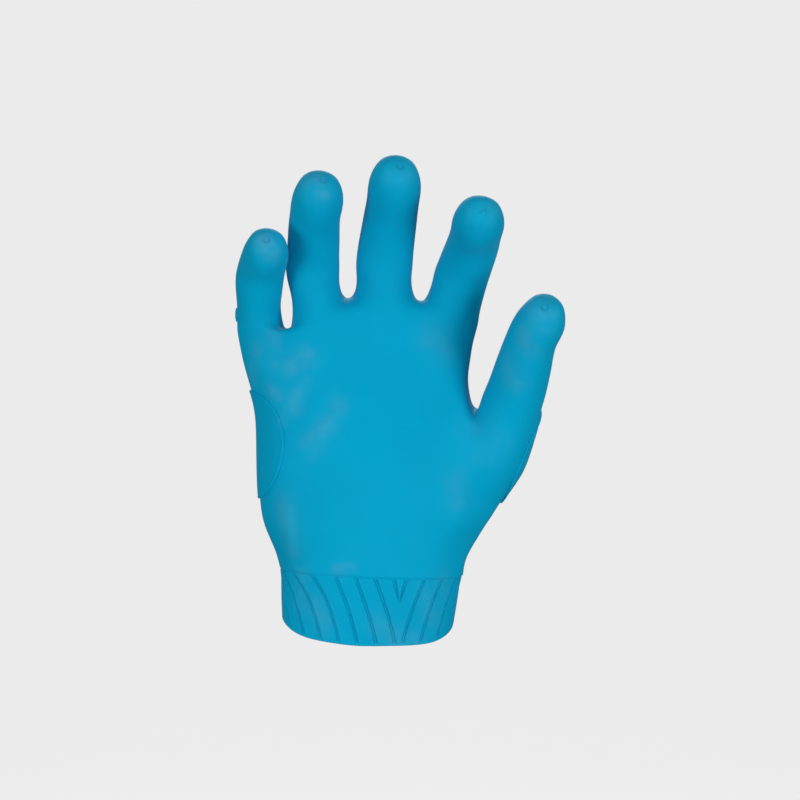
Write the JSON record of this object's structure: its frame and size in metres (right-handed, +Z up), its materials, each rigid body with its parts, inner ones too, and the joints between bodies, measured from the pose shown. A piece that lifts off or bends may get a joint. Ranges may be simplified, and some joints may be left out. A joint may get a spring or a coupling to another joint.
{
  "type": "work glove",
  "caption": "Right-hand work glove, moulded in one smooth matte skin, with slightly curled fingers, a chevron-ribbed wrist band and thin side pads.",
  "frame": {"origin": "middle of the wrist opening, level with the lowest point of its rim", "axes": "+Z up the hand towards the fingers, -Y out of the palm, +X towards the thumb"},
  "size_m": [0.1536, 0.0854, 0.228],
  "materials": {
    "skin": "matte",
    "band": "matte",
    "pad": "matte"
  },
  "bodies": {
    "root": {"hand_shell": "skin", "little_finger_shell": "skin", "ring_finger_shell": "skin", "middle_finger_shell": "skin", "index_finger_shell": "skin", "thumb_shell": "skin", "cuff_band": "band", "little_finger_side_pad": "pad", "thumb_side_pad": "pad", "little_finger_nub": "pad"}
  },
  "joints": []
}
